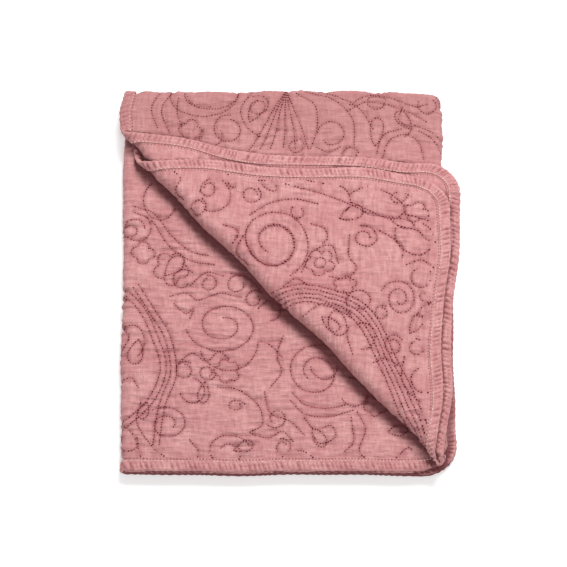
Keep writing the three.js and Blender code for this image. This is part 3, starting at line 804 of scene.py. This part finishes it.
clothPiece = makeQuiltedCloth()
triangleCount = sum(len(p.vertices) - 2 for p in clothPiece.data.polygons)
print("quilted cloth", triangleCount, "triangles")


# The binding, a folded strip carried round the whole edge
bindingValues = {
    "step": 1.25,
    "width": 11.0,
    "halfThickness": 1.75,
    "roundEdge": 3.2,
    "innerHalf": 0.62,
    "wall": 0.9,
    "pucker": 1.0,
    "wander": 0.1,  # of the puckers' spacing
    "evenness": 0.85,
    "unevenness": 0.13,
    "scallop": 0.3,
    "pleat": 4.8,  # from one pucker to the next
    "slant": 0.8,  # the puckers lean a little along the path
    "finePleat": 2.8,
    "fineShare": 0.3,
    "sharpness": 1.9,
    "fullness": 0.3,  # makes the ridges wider than the valleys
    "drop": 0.15,
    # painted shade in the pucker valleys: where it starts and how strong it is
    "valleyShadeFrom": 0.1,
    "valleyShadeStrength": 1.6,
    "scallopPleats": 1.4,  # pleats from one scallop to the next
    "scallopSharpness": 1.6,
    "innerEdge": 0.86,  # thickness left at the sewn edge
    "wrap": 8,  # stations repeated past the path's end
    "ridgeSeed": 11,
    "fineSeed": 23,
    "scallopSeed": 12,
}


def edgePath(step):
    # points of the rounded outline and their directions inwards, with the corners as quarter circles
    radius = fold["cornerRadius"]
    spanU, spanV = fold["length"] - 2 * radius, fold["width"] - 2 * radius
    arc = math.pi * radius / 2
    legs = [
        (spanU, radius, 0, 1, 0),
        (spanV, fold["length"], radius, 0, 1),
        (spanU, fold["length"] - radius, fold["width"], -1, 0),
        (spanV, 0, fold["width"] - radius, 0, -1),
    ]
    us, vs, inUs, inVs = [], [], [], []
    for length, startU, startV, alongU, alongV in legs:
        s = np.linspace(0, length, int(length / step), endpoint=False)
        us.append(startU + s * alongU)
        vs.append(startV + s * alongV)
        inUs.append(np.full(len(s), -alongV, float))
        inVs.append(np.full(len(s), alongU, float))
        turn = np.linspace(0, math.pi / 2, int(arc / step), endpoint=False)
        outU, outV = alongV, -alongU
        centreU = startU + length * alongU - radius * outU
        centreV = startV + length * alongV - radius * outV
        directionU = outU * np.cos(turn) + alongU * np.sin(turn)
        directionV = outV * np.cos(turn) + alongV * np.sin(turn)
        us.append(centreU + radius * directionU)
        vs.append(centreV + radius * directionV)
        inUs.append(-directionU)
        inVs.append(-directionV)
    return [np.concatenate(part) for part in (us, vs, inUs, inVs)]


def puckerNoise(seed, count, period):
    # ridges along a closed path: one wave whose spacing and strength wander, and which meets itself
    rng = np.random.default_rng(seed)
    s = np.arange(count) / count * 2 * math.pi
    turns = int(count * bindingValues["step"] / period)
    phase, strength = turns * s, np.full(count, bindingValues["evenness"])
    for slowTurns in rng.integers(turns // 18, turns // 3, 8):
        phase += bindingValues["wander"] * turns / slowTurns * np.sin(slowTurns * s + rng.uniform(0, 6.28))
        strength += bindingValues["unevenness"] * np.sin(slowTurns * s + rng.uniform(0, 6.28))
    return np.clip(strength, 0.2, 1.3) * np.sin(phase)


def makeBinding():
    u, v, inU, inV = edgePath(bindingValues["step"])
    count = len(u)
    values = bindingValues
    width, edge, wrap = values["width"], values["roundEdge"], values["wrap"]
    insets = np.array([width, width - 0.8, 9.0, 7.4, 5.8, 4.4, 3.2, 2.0, 1.1, 0.4, 0.0])
    lift = np.where(insets < edge, np.sqrt(np.maximum(1 - ((edge - insets) / edge) ** 2, 0)), 1.0)
    lift = lift * np.where(insets > width - 0.5, values["innerEdge"], 1.0)
    window = np.clip(np.sin(np.pi * np.clip((insets - 0.3) / (width - 1.6), 0, 1)), 0, 1) ** 0.7
    stations = np.arange(count + wrap)
    place = np.arange(count)[:, None] + values["slant"] * insets[None, :] / 3
    rows, valleyShades = [], []
    for side in (1, -1):
        ridge = puckerNoise(values["ridgeSeed"] + side, count, values["pleat"])
        fine = puckerNoise(values["fineSeed"] + side, count, values["finePleat"])
        wave = np.interp(place, stations, np.concatenate([ridge, ridge[:wrap]]))
        small = np.interp(place, stations, np.concatenate([fine, fine[:wrap]]))
        whole = wave + values["fineShare"] * small + values["fullness"]
        ridges = np.tanh(values["sharpness"] * whole) - values["drop"]
        height = values["halfThickness"] * lift[None, :]
        height = height + values["pucker"] * ridges * window[None, :]
        rows.append(side * height)
        # painted shade in the valleys between the puckers
        valleyShadeAmount = -values["valleyShadeFrom"] - values["valleyShadeStrength"] * ridges
        valleyShades.append(np.clip(valleyShadeAmount, 0, 1) * window[None, :])
    scallops = puckerNoise(values["scallopSeed"], count, values["scallopPleats"] * values["pleat"])
    out = -values["scallop"] * np.tanh(values["scallopSharpness"] * scallops)
    innerInsets = np.array([width, 7.0, 4.0, values["wall"]])
    innerLift = np.full((count, 4), values["innerHalf"])
    allInsets = np.concatenate([insets, insets[::-1][1:], innerInsets, innerInsets[::-1]])
    heights = np.hstack([rows[0], rows[1][:, ::-1][:, 1:], -innerLift, innerLift])
    near = 1 - smoothRamp(0, 5, allInsets)
    place = allInsets[None, :] + out[:, None] * near[None, :]
    surface = clothSurface(u[:, None] + place * inU[:, None], v[:, None] + place * inV[:, None], heights)
    size = len(allInsets)
    k, j = np.meshgrid(np.arange(count), np.arange(size), indexing="ij")
    nextK, nextJ = (k + 1) % count, (j + 1) % size
    faces = np.stack([k * size + j, k * size + nextJ, nextK * size + nextJ, nextK * size + j], axis=-1)
    piece = makeMesh("bound_edge", surface.reshape(-1, 3), faces.reshape(-1, 4).tolist())
    along = np.repeat(np.arange(count) * values["step"], size)
    uv = np.stack([along, np.tile(allInsets, count)], axis=-1)
    giveClothMap(piece, uv)
    # painted shade on the back strip
    givePaintedStripShade(piece, np.stack([np.repeat(u, size), np.repeat(v, size)], axis=-1))
    # painted shade in the pucker valleys, carried as the binding's furrow attribute
    valleyShade = np.hstack([valleyShades[0], valleyShades[1][:, ::-1][:, 1:], 0 * innerLift, 0 * innerLift])
    giveAttribute(piece, "furrow", valleyShade.ravel())
    return piece


bindingPiece = makeBinding()
print("bound edge", len(bindingPiece.data.polygons) * 2, "triangles")


# Painted shade in hollows: how deep each point lies among its neighbours, from the stack's upper surface as a
# raster of heights, blurred; the deeper it lies, the darker its colour
hollowShadeValues = {
    "cell": 2.0,
    "half": 260.0,  # of the raster's side
    "wide": {"reach": 4.0, "from": 0.3, "to": 7.0},
    "near": {"reach": 1.2, "from": 0.5, "to": 2.6},
    "outOfSight": 0.4,  # share of the painted shade left where a point lies low and not at the front
    "high": (6, 14),
    "front": (150, 185),
    "lowFrontShade": 0.7,  # painted shade on the layers that lie lowest at the front
    "lowFrontZ": (5, 11),
    "lowFrontY": (182, 194),
}


def pointArray(piece):
    flat = np.empty(len(piece.data.vertices) * 3)
    piece.data.vertices.foreach_get("co", flat)
    return flat.reshape(-1, 3) / metresPerMillimetre


def giveHollowShade(pieces):
    cell, half = hollowShadeValues["cell"], hollowShadeValues["half"]
    size = int(2 * half / cell)
    heights = np.zeros((size, size))
    for piece in pieces:
        points = pointArray(piece)
        i, j = np.floor((points[:, :2] + half) / cell).astype(int).T
        np.maximum.at(heights, (i, j), points[:, 2])
    scales = [hollowShadeValues["wide"], hollowShadeValues["near"]]
    averages = [blurred(heights, scale["reach"], scale["reach"]) for scale in scales]
    for piece in pieces:
        points = pointArray(piece)
        i, j = np.floor((points[:, :2] + half) / cell).astype(int).T
        sunk = [average[i, j] - points[:, 2] for average in averages]
        # the further a point lies below its neighbours, the more painted shade it gets
        hollowShade = np.maximum(*[smoothRamp(scale["from"], scale["to"], d) for scale, d in zip(scales, sunk)])
        y, z = points[:, 1], points[:, 2]
        inSight = np.maximum(smoothRamp(*hollowShadeValues["high"], z), smoothRamp(*hollowShadeValues["front"], -y))
        hollowShade = hollowShade * blendTo(hollowShadeValues["outOfSight"], 1, inSight)
        # painted shade on the lowest layers at the front, under the ones above
        low = (1 - smoothRamp(*hollowShadeValues["lowFrontZ"], z)) * smoothRamp(*hollowShadeValues["lowFrontY"], -y)
        giveAttribute(piece, "hollowShade", np.maximum(hollowShade, hollowShadeValues["lowFrontShade"] * low))


giveHollowShade([clothPiece, bindingPiece])


# Stitches: small rounded pads of thread, each a ring of points with a top and a bottom
stitchValues = {
    "longShare": 0.68,  # of a quilting stitch's pitch
    "wideShare": 0.53,
    "longSpread": (0.82, 1.12),
    "wideSpread": (0.85, 1.15),
    "rise": 0.2,
    "sink": 0.5,
    "lift": 0.08,
    "ring": 8,
    "step": 0.4,
}

# Rows of stitches round the whole edge: name, distance from it, pitch, side, height, length, width and seed
hemRows = [
    ("hem_stitches_face", 10.2, 3.4, 1, 1.82, 2.3, 1.1, 6),
    ("hem_stitches_back", 10.2, 3.4, -1, 1.82, 2.3, 1.1, 7),
    ("hem_dots_face", 12.5, 3.25, 1, 1.2, 1.5, 1.0, 8),
    ("hem_dots_back", 12.5, 3.25, -1, 1.2, 1.5, 1.0, 9),
]


def makeStitches(name, u, v, tangentU, tangentV, height, side, length, width, seed):
    # rings of points round (u, v) on the cloth, along the line's direction there
    rng = np.random.default_rng(seed)
    place, normal = clothFrame(u, v)
    step, ringSize = stitchValues["step"], stitchValues["ring"]
    ahead = foldedPoint(u + step * tangentU, v + step * tangentV) - place
    ahead = ahead / np.linalg.norm(ahead, axis=1, keepdims=True)
    normal = normal * side
    aside = np.cross(normal, ahead)
    count = len(u)
    long = length / 2 * rng.uniform(*stitchValues["longSpread"], count)
    wide = width / 2 * rng.uniform(*stitchValues["wideSpread"], count)
    base = place + normal * height[:, None]
    angle = np.arange(ringSize) * 2 * math.pi / ringSize
    ring = base[:, None, :]
    ring = ring + (long[:, None] * np.cos(angle))[:, :, None] * ahead[:, None, :]
    ring = ring + (wide[:, None] * np.sin(angle))[:, :, None] * aside[:, None, :]
    top = base + normal * stitchValues["rise"]
    bottom = base - normal * stitchValues["sink"]
    points = np.concatenate([ring, top[:, None], bottom[:, None]], axis=1).reshape(-1, 3)
    first = np.arange(count)[:, None] * (ringSize + 2)
    k = np.arange(ringSize)[None, :]
    after = (k + 1) % ringSize
    upper = np.stack([first + k, first + after, first + ringSize + 0 * k], axis=-1)
    lower = np.stack([first + after, first + k, first + ringSize + 1 + 0 * k], axis=-1)
    points[:, 2] = np.maximum(points[:, 2], fold["floorGap"])
    piece = makeMesh(name, points, np.concatenate([upper, lower], axis=1).reshape(-1, 3).tolist())
    giveAttribute(piece, "shade", np.repeat(rng.uniform(0, 1, count), ringSize + 2))
    return piece


def makeQuiltStitches():
    places = np.vstack(patternLines)
    steps = np.vstack([np.gradient(line, axis=0) for line in patternLines])
    seen = faceShows(places[:, 0], places[:, 1])
    u, v = places[seen].T
    stretch = np.linalg.norm(steps[seen], axis=1)
    tangentU, tangentV = steps[seen].T / stretch
    pitch = np.minimum(stretch, quilting["flapPitch"])  # longer only where a line is broken at the hem
    height = faceHeight(u, v) + stitchValues["lift"]
    long, wide = stitchValues["longShare"] * pitch, stitchValues["wideShare"] * pitch
    return makeStitches("quilting_stitches", u, v, tangentU, tangentV, height, 1, long, wide, 4)


def makeHemStitches(name, inset, pitch, side, height, length, width, seed):
    u, v, inU, inV = edgePath(pitch)
    tangentU, tangentV = inV, -inU
    u, v = u + inset * inU, v + inset * inV
    lift = np.full(len(u), height)
    return makeStitches(name, u, v, tangentU, tangentV, lift, side, length, width, seed)


quiltStitches = makeQuiltStitches()
hemPieces = [makeHemStitches(*row) for row in hemRows]
print("stitches", len(quiltStitches.data.polygons), [len(piece.data.polygons) for piece in hemPieces])


# Materials
class Value:
    # a socket of a node tree, on which plain sums can be written
    def __init__(self, tree, socket):
        self.tree = tree
        self.socket = socket

    def sum(self, operation, *others):
        return self.tree.node("ShaderNodeMath", {"operation": operation}, [self, *others])

    def __add__(self, other):
        return self.sum("ADD", other)

    def __rsub__(self, other):
        return self.tree.node("ShaderNodeMath", {"operation": "SUBTRACT"}, [other, self])

    def __mul__(self, other):
        return self.sum("MULTIPLY", other)

    def __rmul__(self, other):
        return self.sum("MULTIPLY", other)


class ClothTree:
    def __init__(self, name):
        self.material = bpy.data.materials.new(name)
        self.material.use_nodes = True
        self.nodes = self.material.node_tree.nodes
        self.links = self.material.node_tree.links
        self.shader = self.nodes["Principled BSDF"]

    def node(self, kind, settings=None, inputs=None, output=0):
        # any node: its settings first, then the values or links of its sockets, by place or by name
        made = self.nodes.new(kind)
        for key, value in (settings or {}).items():
            setattr(made, key, value)
        pairs = inputs.items() if isinstance(inputs, dict) else enumerate(inputs or [])
        for key, value in pairs:
            self.feed(made.inputs[key], value)
        return Value(self, made.outputs[output])

    def feed(self, socket, value):
        if isinstance(value, Value):
            self.links.new(value.socket, socket)
        else:
            socket.default_value = value

    def attribute(self, name):
        return self.node("ShaderNodeAttribute", {"attribute_name": name}, output="Fac")

    def mixColour(self, share, first, second):
        made = self.nodes.new("ShaderNodeMix")
        made.data_type = "RGBA"
        self.feed(made.inputs["Factor"], share)
        self.feed(made.inputs[6], first)
        self.feed(made.inputs[7], second)
        return Value(self, made.outputs[2])

    def set(self, **sockets):
        for key, value in sockets.items():
            self.feed(self.shader.inputs[key.replace("_", " ")], value)


def linear(red, green, blue):
    # a colour as seen on a screen, 0 to 255, as Blender's own linear values
    parts = np.array([red, green, blue]) / 255
    parts = np.where(parts <= 0.04045, parts / 12.92, ((parts + 0.055) / 1.055) ** 2.4)
    return (*parts.tolist(), 1.0)


clothLook = {
    "colour": linear(202, 144, 144),
    "faded": linear(214, 162, 160),
    "deep": linear(172, 108, 110),
    # colour of the painted shade in the quilting furrows and the binding's pucker valleys
    "seam": linear(140, 72, 78),
    # colour of the painted shade on the back strip
    "stripShadeColour": linear(158, 106, 104),
    # colour of the painted shade in hollows
    "shade": linear(100, 40, 46),
    "sheenTint": linear(240, 205, 205),
    "furrowShadeShare": 0.5,
    "threadMost": 0.45,  # how far the weave's and the wrinkles' low places go to the deep colour; in the wrinkles this is painted shade
    "wrinkleShadeMost": 0.6,
    "stripShadeShare": 0.5,
    "hollowShadeShare": 0.8,
    "threadHeight": 0.5,
    "wrinkleHeight": 1.7,
    "bumpStrength": 0.9,
    "bumpDistance": 0.002,
    "roughness": 0.92,
    "wrinkleGloss": 0.08,
    "sheen": 0.12,
    "sheenRoughness": 0.5,
    "specular": 0.2,
}

# Noises of the weave: scale along u and v, each in parts of a metre of cloth, detail, and turn
weaveNoises = {
    "patches": (28, 22, 3.0, 0.0),
    "threadsU": (110, 620, 2.0, 0.0),
    "threadsV": (620, 130, 2.0, 0.0),
    "wrinklesU": (60, 260, 2.5, 0.0),
    "wrinklesV": (270, 70, 2.5, 0.06),
}
weaveRanges = {"patches": (0.35, 0.65), "threads": (0.38, 0.62), "wrinkles": (0.36, 0.6)}


def stretchedNoise(tree, uv, kind):
    scaleU, scaleV, detail, turn = weaveNoises[kind]
    placed = tree.node(
        "ShaderNodeMapping",
        {"vector_type": "POINT"},
        {"Vector": uv, "Scale": (scaleU, scaleV, 1.0), "Rotation": (0.0, 0.0, turn)},
    )
    return tree.node("ShaderNodeTexNoise", {}, {"Vector": placed, "Scale": 1.0, "Detail": detail})


def shareOf(tree, kind, value):
    # the value's place in its range, 0 to 1
    low, high = weaveRanges[kind]
    return tree.node("ShaderNodeMapRange", {}, [value, low, high, 0.0, 1.0])


def makeClothMaterial(name, look):
    tree = ClothTree(name)
    uv = tree.node("ShaderNodeUVMap", {"uv_map": "cloth"})
    furrow, hollowShade, stripShade = [tree.attribute(kind) for kind in ("furrow", "hollowShade", "stripShade")]
    patches = stretchedNoise(tree, uv, "patches")
    threads = stretchedNoise(tree, uv, "threadsU") * 0.5 + stretchedNoise(tree, uv, "threadsV") * 0.5
    wrinkles = stretchedNoise(tree, uv, "wrinklesU") * 0.6 + stretchedNoise(tree, uv, "wrinklesV") * 0.4
    patchShare = shareOf(tree, "patches", patches)
    threadShare = shareOf(tree, "threads", threads)
    wrinkleShare = shareOf(tree, "wrinkles", wrinkles)
    colour = tree.mixColour(patchShare, look["colour"], look["faded"])
    colour = tree.mixColour(look["threadMost"] - look["threadMost"] * threadShare, colour, look["deep"])
    # painted shade in the wrinkles' low places
    colour = tree.mixColour(look["wrinkleShadeMost"] - look["wrinkleShadeMost"] * wrinkleShare, colour, look["deep"])
    # painted shade in the furrows and pucker valleys
    colour = tree.mixColour(furrow * look["furrowShadeShare"], colour, look["seam"])
    # painted shade on the back strip, darkest at the fold
    colour = tree.mixColour(stripShade * look["stripShadeShare"], colour, look["stripShadeColour"])
    # painted shade in hollows and on the lowest front layers
    colour = tree.mixColour(hollowShade * look["hollowShadeShare"], colour, look["shade"])
    height = threads * look["threadHeight"] + wrinkles * look["wrinkleHeight"]
    bump = tree.node(
        "ShaderNodeBump",
        {},
        {"Strength": look["bumpStrength"], "Distance": look["bumpDistance"], "Height": height},
    )
    tree.set(
        Base_Color=colour,
        Roughness=look["roughness"] - look["wrinkleGloss"] * wrinkleShare,
        Normal=bump,
        Sheen_Weight=look["sheen"],
        Sheen_Roughness=look["sheenRoughness"],
        Sheen_Tint=look["sheenTint"],
        Specular_IOR_Level=look["specular"],
    )
    return tree.material


def makeThreadMaterial(name, look):
    tree = ClothTree(name)
    tree.set(
        Base_Color=tree.mixColour(tree.attribute("shade"), look["dark"], look["light"]),
        Roughness=look["roughness"],
        Specular_IOR_Level=look["specular"],
    )
    return tree.material


bindingLook = dict(clothLook, colour=linear(206, 148, 147), faded=linear(220, 168, 165), furrowShadeShare=0.68)
threadLook = {"roughness": 0.75, "specular": 0.2}
# the quilting stitches' dark colour is partly the maroon thread and partly painted shade of the sunk stitch
# holes
quiltThreadAndHoleShadeLook = dict(threadLook, dark=linear(84, 2, 20), light=linear(122, 22, 40))
hemThreadLook = dict(threadLook, dark=linear(216, 164, 160), light=linear(246, 214, 208))
dotThreadLook = dict(threadLook, dark=linear(122, 56, 64), light=linear(182, 118, 120))

clothMaterial = makeClothMaterial("washed_quilted_cotton", clothLook)
bindingMaterial = makeClothMaterial("washed_binding_cotton", bindingLook)
quiltThreadAndHoleShade = makeThreadMaterial("maroon_thread_and_hole_shade", quiltThreadAndHoleShadeLook)
hemThread = makeThreadMaterial("pale_hem_thread", hemThreadLook)
dotThread = makeThreadMaterial("dusky_hem_thread", dotThreadLook)


def dress(piece, material):
    piece.data.materials.append(material)
    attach(piece, "root")


dress(clothPiece, clothMaterial)
dress(bindingPiece, bindingMaterial)
dress(quiltStitches, quiltThreadAndHoleShade)
for piece in hemPieces[:2]:
    dress(piece, hemThread)
for piece in hemPieces[2:]:
    dress(piece, dotThread)
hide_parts("quilt_panel")
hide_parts("edge_binding")
print("pieces dressed")


# Floor, light and camera
stageValues = {
    "floorSize": 8.0,
    "floorColour": (0.93, 0.93, 0.93, 1.0),
    "floorGlow": 0.3,
    "floorRoughness": 0.95,
    "camera": {"distance": 3.8, "elevation": math.radians(70), "target": (-0.0065, -0.0055, 0.020)},
    "frameWidth": 0.567,  # of the floor, across the picture
    "sensor": 36.0,
    "clipEnd": 100,
    "sky": 0.33,
}

# Soft lights, each aimed at the middle of the floor: name, place, size and power
softboxes = [
    ("key_softbox", (0.35, 1.0, 1.5), (1.1, 0.5), 31),
    ("front_softbox", (0.1, -1.0, 2.2), (1.2, 1.0), 18),
]


def makeFloor():
    half = stageValues["floorSize"] / 2 / metresPerMillimetre
    corners = np.array([[-half, -half, 0], [half, -half, 0], [half, half, 0], [-half, half, 0]], dtype=float)
    floor = makeMesh("pale_floor", corners, [[0, 1, 2, 3]], smooth=False)
    tree = ClothTree("pale_floor_paint")
    colour = stageValues["floorColour"]
    tree.set(Base_Color=colour, Roughness=stageValues["floorRoughness"], Specular_IOR_Level=0.0)
    tree.set(Emission_Color=colour, Emission_Strength=stageValues["floorGlow"])
    floor.data.materials.append(tree.material)


def makeSoftbox(name, place, size, power):
    lamp = bpy.data.lights.new(name, "AREA")
    lamp.shape = "RECTANGLE"
    lamp.size, lamp.size_y = size
    lamp.energy = power
    holder = bpy.data.objects.new(name, lamp)
    holder.location = place
    holder.rotation_euler = (-Vector(place)).to_track_quat("-Z", "Y").to_euler()
    bpy.context.scene.collection.objects.link(holder)


def makeCamera():
    values = stageValues["camera"]
    camera = bpy.data.cameras.new("photo_camera")
    camera.sensor_width = stageValues["sensor"]
    camera.lens = stageValues["sensor"] * values["distance"] / stageValues["frameWidth"]
    camera.clip_end = stageValues["clipEnd"]
    holder = bpy.data.objects.new("photo_camera", camera)
    target = Vector(values["target"])
    lean = values["elevation"]
    away = Vector((0, -math.cos(lean), math.sin(lean)))
    holder.location = target + away * values["distance"]
    holder.rotation_euler = (-away).to_track_quat("-Z", "Y").to_euler()
    bpy.context.scene.collection.objects.link(holder)
    bpy.context.scene.camera = holder


def makeSky():
    world = bpy.data.worlds.new("white_room")
    world.use_nodes = True
    background = world.node_tree.nodes["Background"]
    background.inputs["Color"].default_value = (1, 1, 1, 1)
    background.inputs["Strength"].default_value = stageValues["sky"]
    bpy.context.scene.world = world


makeFloor()
makeSky()
for softbox in softboxes:
    makeSoftbox(*softbox)
makeCamera()
bpy.context.scene.view_settings.view_transform = "Standard"

print("stage set")
